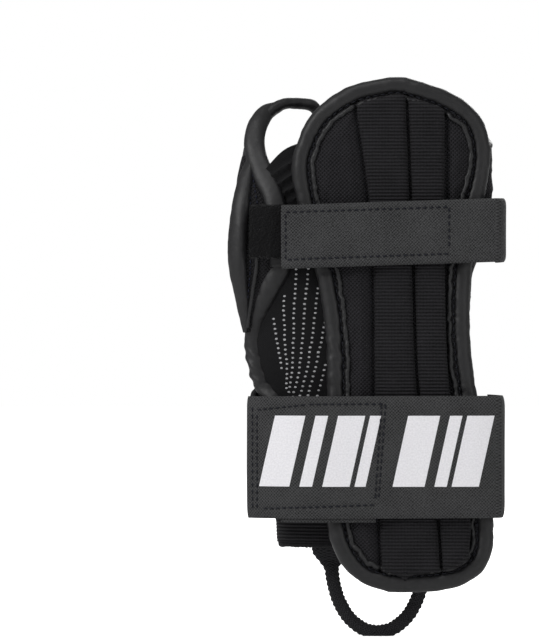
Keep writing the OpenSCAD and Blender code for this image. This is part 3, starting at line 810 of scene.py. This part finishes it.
def top_roll():
    """Finger edge of the palm panel and the little-finger panel."""
    s = np.linspace(0.93, 0, 60)
    z = at(PALM_HIGH, s)
    palm = skin(mix(palm_angle(PALM_RIGHT, z), palm_end(z), s), z + TOP_W / 2 - 0.4, -WALL / 2)
    s = np.linspace(0.89, 0.1, 24)
    z = at(ULNAR_HIGH, s)
    a = mix(back_angle(BACK_RIGHT, z) - 360, palm_angle(PALM_RIGHT, z), s)
    side = skin(a, z + TOP_W / 2 - 0.4, -WALL / 2)
    edge_roll("top_edge_roll", np.concatenate([palm, side]), TOP_W + 0.8, TOP_W + 0.4, (0, 0, 1),
              "top_binding", shape=lumps((0.2, 4.0, 2)), sides=14)


def cuff():
    """Hem of the cuff, and the ribbed tape sewn round above it."""
    path = skin(np.linspace(0, 360, 240, endpoint=False), -CUFF_DROP, -WALL / 2 - 0.3)
    edge_roll("cuff_hem", path, 3.4, 3.2, (0, 0, 1), "cuff_binding", cloth=EDGING, closed=True, sides=16,
              power=0.8, shape=lambda s, a, ring: 0.3 * fbm(ring, 6.0, 2) + 0.22 * np.sin(s * 3.4))
    a = np.linspace(0, 360, 300)[None, :]
    z = np.linspace(-87.6, -77.5, 60)[:, None]
    off = 0.5 + 0.18 * (0.5 - 0.5 * np.cos(2 * np.pi * z / RIB)) + 0.25 * fbm(skin(a, z), 9.0, 2)
    uv = points(a * 0.6, z)
    ride(slab("cuff_facing_tape", skin(a, z, off), skin(a, z, off - 1.0), TAPE, uv=uv), "sleeve", "binding")


# ---------------- bands and straps
def outward(path):
    """Unit vectors across a line seen along the hand, pointing away from the sleeve's middle."""
    d = np.gradient(path, axis=0)
    n = unit(np.stack([d[:, 1], -d[:, 0]], 1))
    return n * np.sign(np.median((n * path).sum(1)))


def ribbon(name, path, low, high, t, cloth, relief, rows=22, step=0.8, off=0.0):
    """Flat webbing standing along a line [(x, y)], from height low to high, t thick outwards from it."""
    p = resample(np.column_stack([path, np.zeros(len(path))]), step)[:, :2]
    s = np.linspace(0, 1, len(p))
    low, high = (edge(p[:, 0], s) if callable(edge) else edge + 0 * s for edge in (low, high))
    v = np.linspace(0, 1, rows + 1)[:, None]
    z = mix(low, high, v)
    base = points(p[:, 0], p[:, 1], z)
    out = np.column_stack([outward(p), 0 * s])
    wave = relief(base)
    selvage = 0.5 * t * np.abs(2 * v - 1) ** 14
    uv = points(lengths(p), z)
    top = base + out * (off + t + wave - selvage)[..., None]
    return slab(name, top, base + out * (off + wave)[..., None], cloth, sharp=60, uv=uv)


# Name, sewn end [(x, y)], lower edge, width, tilt, where the free end starts, where the shoulder starts,
# where the free end stops, where it folds, and the hook patch's inset and stop
Strap = namedtuple("Strap", "name anchor low width tilt cut shoulder end fold hook_inset hook_end")
HAND = Strap("hand", [(46.6, 7), (47.7, 0), (48.3, -8), (48.4, -16), (47.6, -24), (45.8, -28.6)],
             26.4, 26.1, 0.033, 34, -30, -42.2, 27, 2, -41)
WRIST = Strap("wrist", [(43.2, 8), (44.8, 0), (46, -8), (47.4, -18), (47.4, -26), (45.9, -31.4)],
              -77, 50, 0.003, 8, -22, -55.6, 1, 4, -54)
HAND_SEAMS = [((-40.4, 28.8), (-40.4, 48.2)), ((-40.4, 48.2), (26, 50.3)), ((26, 50.3), (26, 31.2)),
              ((26, 31.2), (-40.4, 28.8))]
WRIST_SEAMS = [((-53.4, -73.2), (-53.4, -29.6)), ((-51.6, -73.2), (-51.6, -32.8)),
               ((-51.6, -32.8), (-31, -30.4)), ((-31, -30.4), (0, -30.2)), ((0, -30.2), (-3, -71.4)),
               ((-1.6, -30.2), (-4.4, -71.4)), ((-4.4, -71.4), (-51.6, -73.2))]


def strap_line(x, strap):
    """Inner face of a strap over the back; its free end bends down past the shoulder."""
    return points(x, on_back(x, strap.low, STRAP_LOW)[:, 1] + np.maximum(strap.shoulder - x, 0) ** 2 * 0.006)


def strap_waves(base):
    """Slack of the webbing: broad waves along it, and a groove where each row of stitches pulls it down."""
    q = base[..., [0, 2]]
    groove = 0
    for start, end in HAND_SEAMS + WRIST_SEAMS:
        a, d = np.array(start), np.subtract(end, start)
        t = np.clip((q - a) @ d / (d @ d), 0, 1)
        groove = np.maximum(groove, np.exp(-(np.linalg.norm(q - a - t[..., None] * d, axis=-1) / 0.8) ** 2))
    return 0.4 * fbm(base * (1.0, 0, 0.35), 22.0, 2, 9.0) - 0.25 * groove


def at_fold(obj, strap, slot, *nodes):
    """A piece of the strap's free end, handed to bend with two points about the fold; it is baked in place
    and does not bend.
    """
    return bend(obj, strap.name + "_strap", strap.name + "_tab", (strap.fold + 2.5, 0, strap.low),
                (strap.fold - 3.5, 0, strap.low), slot, *nodes)


def band_along(name, strap, path, t=STRAP_T, cloth=WEBBING, inset=0.0, relief=strap_waves, rows=None,
               step=0.7, off=0.0):
    """Webbing or hook fabric of a strap along a line, between the strap's edges."""
    return ribbon(name, path, lambda x, s: strap.low + inset + strap.tilt * x,
                  lambda x, s: strap.low + strap.width - inset + strap.tilt * x, t, cloth, relief,
                  rows=rows or int(strap.width / 0.7), step=step, off=off)


def strap_face(x, z, strap, lift):
    """Points on the outer face of a strap and the directions out of it."""
    flat = np.asarray(x, float).ravel()
    y = strap_line(flat, strap)[:, 1]
    slope = (strap_line(flat + 0.1, strap)[:, 1] - strap_line(flat - 0.1, strap)[:, 1]) / 0.2
    n = unit(points(slope, -1, 0))
    base = points(flat, y, np.broadcast_to(z, np.shape(x)).ravel())
    face = base + n * (STRAP_T + lift + strap_waves(base))[:, None]
    return face.reshape(np.shape(x) + (3,)), n.reshape(np.shape(x) + (3,))


def strap_webbing(strap):
    """The sewn end and the strap as one length of webbing, and the free end as another."""
    name = strap.name + "_strap"
    sewn = through(strap.anchor, np.linspace(0, 1, 60))
    path = np.vstack([sewn, strap_line(np.linspace(44.4, strap.cut, 30), strap)])
    bend(band_along(name + "_webbing", strap, path), "sleeve", name, (46.5, -25, strap.low),
         (42.0, -32, strap.low), "strap_webbing", name + "_anchor", name)
    path = strap_line(np.linspace(strap.cut, strap.end, 160), strap)
    at_fold(band_along(name + "_tab_webbing", strap, path), strap, "strap_webbing", strap.name + "_tab")


def strap_hooks(strap):
    path = strap_line(np.linspace(strap.fold - 2, strap.hook_end, 120), strap)
    pile = lambda base: strap_waves(base) - 0.12 * np.abs(fbm(base, 1.4, 2))
    patch = band_along(strap.name + "_hook_patch", strap, path, HOOK_T, HOOK, strap.hook_inset, pile, rows=22,
                       step=0.8, off=-HOOK_T - 0.02)
    at_fold(patch, strap, "hook_fabric", strap.name + "_hook")


def strap_seams(strap, seams):
    """Rows of stitches on a strap, each from one (x, z) to another."""
    lines = []
    for corners in seams:
        q = resample(np.array([(x, 0, z) for x, z in corners], float), 0.5)
        lines.append(strap_face(q[:, 0], q[:, 2], strap, 0.02))
    thread = stitches(strap.name + "_strap_stitching", lines, THREAD, 2.2, 2.8, 0.75)
    at_fold(thread, strap, "strap_webbing")


PRINT_LOW, PRINT_H, PRINT_LEAN = -64, 29, 0.22
TAB_BLOCKS = [(-47.5, 12), (-31.5, 5), (-22.5, 11), (-9.5, 4.5)]
STRAP_BLOCKS = [(6, 13), (23, 5), (30, 11)]


def print_blocks(name, blocks):
    """Plain slanted blocks of ink on the wrist strap, each (left edge, width), joined into one mesh."""
    bm = bmesh.new()
    for x0, w in blocks:
        v, u = grid(29, max(int(w), 4) * 2 - 1)
        z = PRINT_LOW + v * PRINT_H + 0 * u
        x = x0 + u * w + PRINT_LEAN * (v - 0.5) * PRINT_H
        top, n = strap_face(x, z, WRIST, 0.14)
        part = slab(name, top, top - 0.25 * n, PRINT, uv=points(x, z))
        bm.from_mesh(part.data)
        bpy.data.objects.remove(part)
    mesh = bpy.data.meshes.new(name)
    bm.to_mesh(mesh)
    bm.free()
    mesh.materials.append(PRINT)
    return place(name, mesh)


def straps():
    """Both straps with their hook patches and stitches, and what only the wrist strap has."""
    for make in (strap_webbing, strap_hooks):
        make(HAND)
        make(WRIST)
    strap_seams(HAND, HAND_SEAMS)
    strap_seams(WRIST, WRIST_SEAMS)
    path = strap_line(np.linspace(-4, -42.7, 60), WRIST)
    second = ribbon("wrist_tab_second_layer", path, WRIST.low - 1.7, WRIST.low + 6.0, 0.9, WEBBING,
                    relief=strap_waves, off=-0.92)
    ride(second, "wrist_tab", "strap_webbing")
    at_fold(print_blocks("strap_blocks_tab", TAB_BLOCKS), WRIST, "white_print", "wrist_print_tab")
    ride(print_blocks("strap_blocks", STRAP_BLOCKS), "wrist_strap", "white_print", "wrist_print_strap")


# ---------------- thumb side: cloth, puffed edge, patch and band
FLAP_PATH = [(-60.5, 3), (-63.5, -2), (-63, -11), (-57, -19.5), (-48, -22.6), (-38, -23.4)]
FLAP_T = 1.4
PATCH_START = 0.66
LOOP_T = 1.8
PUFF_PATH = [(-54.6, -4.5, 73), (-57.0, -9.5, 64), (-58.8, -13.5, 53), (-60.6, -15.2, 40), (-60.5, -15.2, 28),
             (-59.4, -14.2, 17), (-58.2, -12.6, 7), (-57.4, -11.2, -1)]
GUSSET_IN = [(-53, -6.5, 72), (-51, -10.5, 62.5), (-47, -15, 51.5), (-44.5, -17, 39), (-44, -16.6, 27),
             (-48, -14.6, 17), (-52, -12.4, 7), (-54.5, -10.2, -1)]
PUFF = through(PUFF_PATH, np.linspace(0, 1, 120))
BAND_LOW, BAND_HIGH, BAND_HEM_W = -69.5, -22.5, 2.6
BAND_TURN = [(-47, 15.8), (-52.8, 8), (-54.8, -3), (-54.2, -14), (-50.5, -22), (-43.5, -26.2), (-36, -29.2)]


def crowned(start, stop, cols, out, arch, power, size, rough):
    """Points between two lines, arched outwards and uneven."""
    v = np.linspace(0, 1, cols)[None, :, None]
    p = mix(start[:, None], stop[:, None], v)
    rise = arch * np.sin(np.pi * v[..., 0]) ** power + rough * fbm(p, size, 2)
    return p + out * rise[..., None]


def thumb_side():
    """Cloth from the outer side of the thumb hole round to the puffed edge, and the loop patch beside it."""
    z = mix(72.0, 25.5, np.linspace(0, 1, 80))
    s = (z - HOLE_MID[1]) / HOLE_HALF[1]
    half = HOLE_HALF[0] * np.sqrt(1 - s ** 2) * (1 + HOLE_TAPER * s)
    x = HOLE_MID[0] + HOLE_LEAN * (z - HOLE_MID[1]) - half
    ring = on_palm(np.minimum(x, -52), z, -WALL / 2)
    puff = np.stack([np.interp(z[::-1], PUFF[::-1, 2], PUFF[::-1, k])[::-1] for k in range(3)], 1)
    out = np.array([-0.95, -0.3, 0])
    top = crowned(ring, puff, 40, out, 3.2, 0.8, 11.0, 0.4)
    ride(slab("thumb_side_cloth", top, top - out * 1.3, COARSE), "sleeve", "binding", "thumb_flap")
    part = through(FLAP_PATH, np.linspace(PATCH_START, 1, 60))
    pile = lambda base: 0.3 * fbm(base, 12.0, 2) + 0.3 * fbm(base, 1.6, 2)
    ragged = lambda x, s: 29.4 + 0.6 * fbm(seen_flat(x, 0 * x), 1.3, 2)
    patch = ribbon("loop_patch", part, ragged, HAND.low + HAND.width - 1.0, LOOP_T, LOOP, pile, rows=26,
                   step=0.6, off=FLAP_T + 0.4)
    ride(patch, "sleeve", "loop_fabric", "hand_loop_patch")


def gusset():
    """Coarse cloth between the puffed edge and the rolled band, narrowing to a point at both ends."""
    outer, inner = (through(path, np.linspace(0, 1, 90)) for path in (PUFF_PATH, GUSSET_IN))
    out = np.array([-0.5, -0.86, 0])
    top = crowned(outer, inner, 26, out, 1.2, 1, 9.0, 0.35)
    ride(slab("thumb_gusset_cloth", top, top - out * 1.2, COARSE), "sleeve", "binding")
    line = mix(outer, inner, 0.52)[48:86] + out * 1.5
    edge_roll("thumb_gusset_piping", line, 1.9, 1.7, out, shape=lumps((0.12, 2.5, 2)), sides=10, step=0.6)
    rows = [(top[12:84, 9] + out * 0.25, out), (top[6:34, 15] + out * 0.25, out)]
    ride(stitches("thumb_gusset_stitching", rows, NAVY, 1.8, 2.4, 0.55, 0.2), "sleeve", "binding")


def puff_strip():
    """Padded edge strip down the outside of the thumb, wide at the middle and narrow at both ends."""
    swell = np.sin(np.pi * np.linspace(0.06, 0.97, len(resample(PUFF, 0.8)))) ** 0.6

    def relief(s, a, ring):
        return 0.4 * fbm(ring * (1, 1, 0.7), 11.0, 2) + 0.13 * fbm(ring, 3.2, 2, 6.0)
    obj = edge_roll("thumb_side_puff", PUFF, 8.6 * swell, 5.6 * swell, (0.75, 1, 0), shape=relief, sides=26,
                    power=0.9)


def loop_band():
    """Hemmed loop band over the palm, round the thumb side and under the wrist strap's end."""
    palm = on_palm(np.arange(32, -41, -8.0), -70.0, 2.9 + LOOP_T)[:, :2]
    line = through(np.vstack([palm, BAND_TURN]), np.linspace(0, 1, 300))
    pile = lambda base: 0.2 * fbm(base, 1.7, 2) + 0.4 * fbm(base, 18.0, 2, 3.0)
    drop = lambda s: 7.0 * smooth((s - 0.55) / 0.3)
    band = ribbon("wrist_loop_fabric", line, lambda x, s: BAND_LOW - 0.5 * drop(s),
                  lambda x, s: BAND_HIGH - drop(s), LOOP_T, LOOP, pile, rows=40, step=1.0, off=-LOOP_T)
    ride(band, "sleeve", "loop_fabric", "wrist_loop_band")
    p = resample(np.column_stack([line, 0 * line[:, 0]]), 0.8)
    n = np.column_stack([outward(p[:, :2]), 0 * p[:, 0]])
    fall = drop(np.linspace(0, 1, len(p)))

    def edge(z, share, out):
        return p + n * out + np.outer(z - share * fall, (0, 0, 1))
    for name, z, share in (("upper", BAND_HIGH - 0.1, 1.0), ("lower", BAND_LOW + 0.1, 0.5)):
        edge_roll("loop_band_hem_" + name, edge(z, share, -0.8), BAND_HEM_W, 2.8, n, cloth=EDGING,
                  shape=lumps((0.15, 3.0, 2)), sides=12)
    rows = [(edge(BAND_HIGH - 2.5, 1.0, 0.28), n), (edge(BAND_LOW + 2.5, 0.5, 0.28), n)]
    seam("loop_band_stitching", rows, "binding", 1.9, 2.7, 0.45)


# ---------------- palm side
PAD_MID, PAD_HALF = (7, 63), (24.6, 26.6)
CHANNELS = [("palm_channel_thumb", -24), ("palm_channel_middle", -5), ("palm_channel_little", 15)]
CHANNEL_W, CHANNEL_SEAM = 10.2, 6.2


def cover_profile(u, v, steep_u, steep_v):
    """Height of a stuffed cover from 0 at its edges to 1, steeper for higher powers."""
    along = np.maximum(1 - np.abs(2 * u - 1) ** steep_u, 0)
    across = np.maximum(1 - np.abs(2 * v - 1) ** steep_v, 0)
    return (along * across) ** 0.4


def palm_cover(name, x, z, off, slot, cad_node):
    uv = points(x, z)
    cloth = slab(name, on_palm(x, z, off), on_palm(x, z, -0.6), COARSE, uv=uv, sharp=80)
    return ride(cloth, "sleeve", slot, cad_node)


def palm_pad():
    """Stuffed block over the heel of the hand, with steep sides that pucker at the seam."""
    u, v = grid(90, 84)
    x0, z0 = PAD_MID
    z = z0 - 25 + 50 * u + 0 * v
    f = np.maximum(1 - np.abs((z - z0) / 25.2) ** 4, 0) ** 0.25
    side = np.abs(2 * v - 1)
    x = mix(x0, np.where(v < 0.5, x0 - 23, x0 + 23), (0.72 + 0.28 * f)) * side + x0 * (1 - side)
    z = z + 3.0 * (v - 0.5) * (1 - u)
    p = seen_flat(x, z)
    rise = cover_profile(u, v, 12, 12)
    puckers = 0.35 * np.sin(np.arctan2(z - z0, x - x0) * 46 + 3 * fbm(p, 9.0, 1)) * 4 * rise * (1 - rise)
    off = 0.2 + 8.0 * rise + (0.5 * fbm(p, 14.0, 2) + 0.15 * fbm(p, 4.0, 2)) * rise + puckers
    palm_cover("palm_pad_cloth", x, z, off, "canvas", "palm_pad_cover")
    a = np.linspace(0, 2 * np.pi, 200)
    x, z = (mid + half * np.sign(c) * np.abs(c) ** 0.42
            for mid, half, c in zip(PAD_MID, PAD_HALF, (np.cos(a), np.sin(a))))
    seam("palm_pad_stitching", [(on_palm(x, z, 0.5), (0, 1, 0))], "canvas", 1.9, 2.7, 0.45)


def palm_channels():
    """Three channels with rounded upper ends, and the stitches round each."""
    u, v = grid(170, 20)
    arc = np.linspace(0, np.pi, 40)
    side_z = np.linspace(-20, 13.4, 40)
    lines = []
    for name, x0 in CHANNELS:
        z = -64 + 78 * u + 2.2 * np.cos((v - 0.5) * np.pi) * u ** 6
        x = x0 + (v - 0.5) * CHANNEL_W + 0 * u
        p = seen_flat(x, z)
        rise = cover_profile(u, v, 40, 3.0)
        off = 0.2 + 2.2 * rise + (0.3 * fbm(p, 9.0, 2) + 0.1 * fbm(p, 2.5, 2)) * rise
        palm_cover(name + "_cloth", x, z, off, "channel_tape", name)
        rows = [(x0 - CHANNEL_SEAM, side_z), (x0 + CHANNEL_SEAM, side_z),
                (x0 - CHANNEL_SEAM * np.cos(arc), 13.6 + 3.2 * np.sin(arc))]
        lines += [(on_palm(x, z, 0.5), (0, 1, 0)) for x, z in rows]
    seam("palm_channel_stitching", lines, "channel_tape", 1.8, 2.6, 0.45)


# ---------------- pull loop
PULL_X = (-21.5, 17.5)
PULL_TOP, PULL_DROP = -93.8, 33
PULL_Y = float(at(PALM_DEPTH, -88)) + 1
FOOT_W, LOOP_W = 16.0, 5.8


def pull_loop():
    """One length of webbing: two wide sewn ends that narrow into a hanging loop."""
    foot_z = np.linspace(-76, -92, 30)
    mid, half = sum(PULL_X) / 2, (PULL_X[1] - PULL_X[0]) / 2
    s = np.linspace(0.02, 0.98, 150)
    hang_z = PULL_TOP - PULL_DROP * np.sin(np.pi * s) ** 0.85
    hang = points(mid - half * np.cos(np.pi * s), PULL_Y + 0.9, hang_z)
    feet = [points(x, on_palm(x, np.maximum(foot_z, -88.0), 1.4)[:, 1], foot_z) for x in PULL_X]
    path = resample(np.vstack([feet[0], hang, feet[1][::-1]]), 0.6)
    run = lengths(path)
    narrow = smooth((np.minimum(run, run[-1] - run) - 16.5) / 9)
    ribs = lambda s, a, ring: 0.22 * np.sin(s * 2 * np.pi / 2.1 + 2 * np.cos(a)) + 0.12 * fbm(ring, 3.0, 2)
    obj = roll("pull_loop_webbing", path, mix(FOOT_W, LOOP_W, narrow), mix(2.4, 3.4, narrow), (0, 1, 0), PULL,
               ribs, sides=22, step=0.6, power=0.75)
    bend(obj, "sleeve", "pull_loop", (0, PULL_Y, -91), (0, PULL_Y, -98), "pull_webbing", "pull_loop_ends",
         "pull_loop")
    rows = [(on_palm(np.linspace(x - 6.4, x + 6.4, 30), z, 2.85), (0, 1, 0))
            for x in PULL_X for z in (-78.5, -81.5, -84.5, -87.0)]
    seam("pull_loop_stitching", rows, "pull_webbing", 1.7, 2.2, 0.5)


# ---------------- parts inside, floor, light and camera
def inner_parts():
    """Stays and foam stay as the CAD has them and get their materials."""
    stays = ["back_stay_inner", "back_stay_outer", "palm_stay_thumb", "palm_stay_middle", "palm_stay_little"]
    for name, material in [(stay, PLASTIC) for stay in stays] + [("palm_pad_foam", FOAM)]:
        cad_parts[name].data.materials.clear()
        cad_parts[name].data.materials.append(material)


def area_light(name, where, size, power):
    """A square light that faces the part; metres and watts."""
    light = bpy.data.lights.new(name, "AREA")
    light.energy, light.size = power, size
    obj = place(name, light)
    obj.location = where
    obj.rotation_euler = (-Vector(where)).to_track_quat("-Z", "Y").to_euler()


def seen_directly(tree):
    """One where the camera looks straight at the surface: the backdrop stays white while it lights softly."""
    return node(tree, "LightPath").outputs["Is Camera Ray"]


FLOOR_Z = -0.1285
LIGHTS = [("key", (-1.45, -1.15, 1.05), 0.7, 19), ("top", (-0.2, -0.7, 1.9), 0.8, 9),
          ("fill", (1.2, -1.4, 0.4), 0.9, 4), ("back", (0.6, 1.9, 0.9), 1.0, 18)]
CAMERA_PLACE = (-0.0474, -2.22, 0.0037)


def studio():
    """White floor and backdrop, four soft lights and a long lens that looks at the back of the hand."""
    scene = bpy.context.scene
    scene.view_settings.view_transform = "Standard"
    bpy.ops.mesh.primitive_plane_add(size=12, location=(0, 0, FLOOR_Z))
    floor = bpy.context.object
    floor.name = "studio_floor"
    pale = solid("pale_floor", (0.86, 0.86, 0.86), (0.92, 0.92, 0.92), 0.9, 0.1, 3.0, 0.02, False)
    floor.data.materials.append(pale)
    tree = pale.node_tree
    shader = tree.nodes["Principled BSDF"]
    shader.inputs["Emission Color"].default_value = (1, 1, 1, 1)
    tree.links.new(calc(tree, "MULTIPLY", seen_directly(tree), 0.8), shader.inputs["Emission Strength"])
    world = bpy.data.worlds.new("studio")
    world.use_nodes = True
    tree = world.node_tree
    tree.nodes["Background"].inputs["Color"].default_value = (1, 1, 1, 1)
    glow = calc(tree, "ADD", calc(tree, "MULTIPLY", seen_directly(tree), 0.7), 0.3)
    tree.links.new(glow, tree.nodes["Background"].inputs["Strength"])
    scene.world = world
    for light in LIGHTS:
        area_light(*light)
    camera = bpy.data.cameras.new("camera")
    camera.lens, camera.sensor_width = 300, 36
    camera.clip_end = 50
    scene.camera = place("camera", camera)
    scene.camera.location = CAMERA_PLACE
    scene.camera.rotation_euler = (math.radians(90), 0, 0)


shield_cover()
shield_binding()
shield_seams()
back_channel("back_channel_inner_tape", GROOVES[0], GROOVES[1], "back_channel_inner")
back_channel("back_channel_outer_tape", GROOVES[1], GROOVES[2], "back_channel_outer")
sleeve_panels()
vent_dots()
thumb_band()
thumb_edge()
hole_ring()
top_roll()
cuff()
straps()
thumb_side()
gusset()
puff_strip()
loop_band()
palm_pad()
palm_channels()
pull_loop()
inner_parts()
studio()
